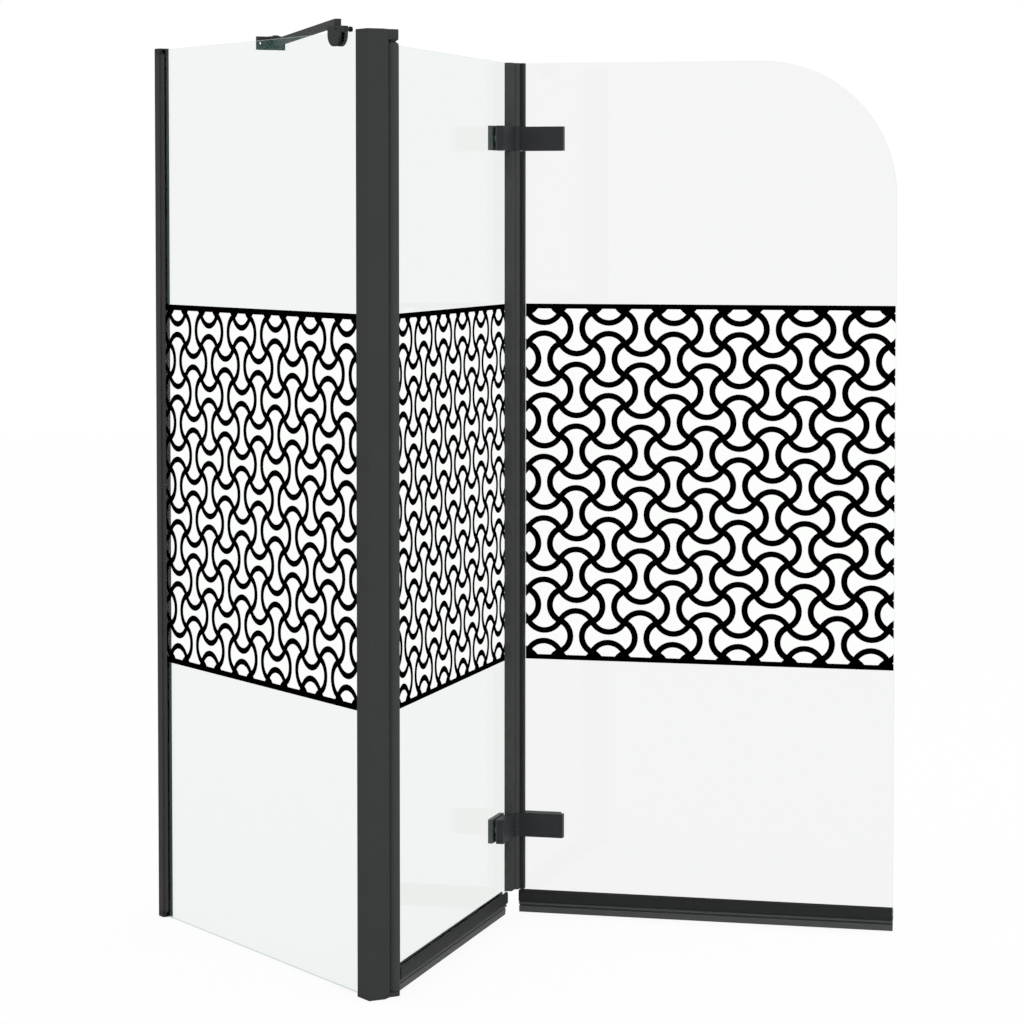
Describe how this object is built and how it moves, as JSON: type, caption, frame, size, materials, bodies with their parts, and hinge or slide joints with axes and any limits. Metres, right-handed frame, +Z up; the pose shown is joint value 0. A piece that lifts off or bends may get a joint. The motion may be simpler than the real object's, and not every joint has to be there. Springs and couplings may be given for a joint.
{
  "type": "folding bath screen",
  "caption": "Corner bath screen: fixed glass side panel with a stabiliser bar, a corner post and two folding glass leaves with a printed band.",
  "frame": {"origin": "centre of the corner post's foot", "axes": "+Z up; +X along the leaves when closed; +Y along the fixed side panel, toward the wall"},
  "size_m": [0.8917, 0.68, 1.3237],
  "materials": {
    "frame_metal": "dark grey powder coat, fine texture, satin",
    "hinge_metal": "dark grey powder coat, smooth satin",
    "dark_plastic": "black co-extruded PVC, matt",
    "seal_fin": "dark grey soft PVC",
    "seal_rubber": "black EPDM",
    "clear_seal": "clear PVC",
    "clear_glass": "toughened clear float glass with green edges",
    "print_ground": "white ceramic enamel fired on glass",
    "print_ink": "black ceramic enamel fired on glass",
    "pin_steel": "stainless steel",
    "black_screws": "black oxide steel",
    "bush_plastic": "black acetal"
  },
  "bodies": {
    "root": {"wall_channel": "frame_metal", "wall_channel_top_cap": "dark_plastic", "wall_channel_bottom_cap": "dark_plastic", "wall_channel_seal": "seal_rubber", "side_glass": "clear_glass", "side_print_band": "print_ground", "side_print_border": "print_ink", "corner_post": "frame_metal", "post_glass_seal": "clear_seal", "top_pivot_bracket": "frame_metal", "bottom_pivot_bracket": "frame_metal", "top_bracket_screws": "black_screws", "bottom_bracket_screws": "black_screws", "top_pivot_pin": "pin_steel", "bottom_pivot_pin": "pin_steel", "stabiliser_clamp": "frame_metal", "stabiliser_back_jaw": "frame_metal", "stabiliser_pads": "seal_rubber", "stabiliser_clamp_screw": "black_screws", "stabiliser_bar": "frame_metal", "stabiliser_clamp_pivot": "black_screws", "stabiliser_wall_pivot": "black_screws", "stabiliser_wall_bracket": "frame_metal"},
    "inner_leaf": {"pivot_profile": "frame_metal", "top_pivot_bush": "bush_plastic", "bottom_pivot_bush": "bush_plastic", "pivot_thrust_washer": "bush_plastic", "pivot_glazing_tape": "seal_rubber", "inner_glass": "clear_glass", "inner_print_band": "print_ground", "inner_print_border": "print_ink", "inner_edge_profile": "frame_metal", "inner_seal_clip": "dark_plastic", "inner_seal_fin": "seal_fin", "upper_hinge_inner_block": "hinge_metal", "upper_hinge_inner_plate": "hinge_metal", "upper_hinge_inner_pads": "seal_rubber", "upper_hinge_inner_screws": "pin_steel", "upper_hinge_pin": "pin_steel", "lower_hinge_inner_block": "hinge_metal", "lower_hinge_inner_plate": "hinge_metal", "lower_hinge_inner_pads": "seal_rubber", "lower_hinge_inner_screws": "pin_steel", "lower_hinge_pin": "pin_steel"},
    "outer_leaf": {"outer_glass": "clear_glass", "outer_print_band": "print_ground", "outer_print_border": "print_ink", "outer_edge_profile": "dark_plastic", "outer_seal_clip": "dark_plastic", "outer_seal_fin": "seal_fin", "upper_hinge_outer_block": "hinge_metal", "upper_hinge_outer_plate": "hinge_metal", "upper_hinge_outer_pads": "seal_rubber", "upper_hinge_outer_screws": "pin_steel", "lower_hinge_outer_block": "hinge_metal", "lower_hinge_outer_plate": "hinge_metal", "lower_hinge_outer_pads": "seal_rubber", "lower_hinge_outer_screws": "pin_steel"}
  },
  "joints": [
    {"name": "pivot_swing", "type": "hinge", "parent": "root", "child": "inner_leaf", "pos_m": [0.0276, 0, 0.65], "axis": [0, 0, 1], "range_deg": [-45, 45]},
    {"name": "leaf_fold", "type": "hinge", "parent": "inner_leaf", "child": "outer_leaf", "pos_m": [0.45632, 0.4085, 0.65], "axis": [0, 0, 1], "range_deg": [-90, 90]}
  ]
}
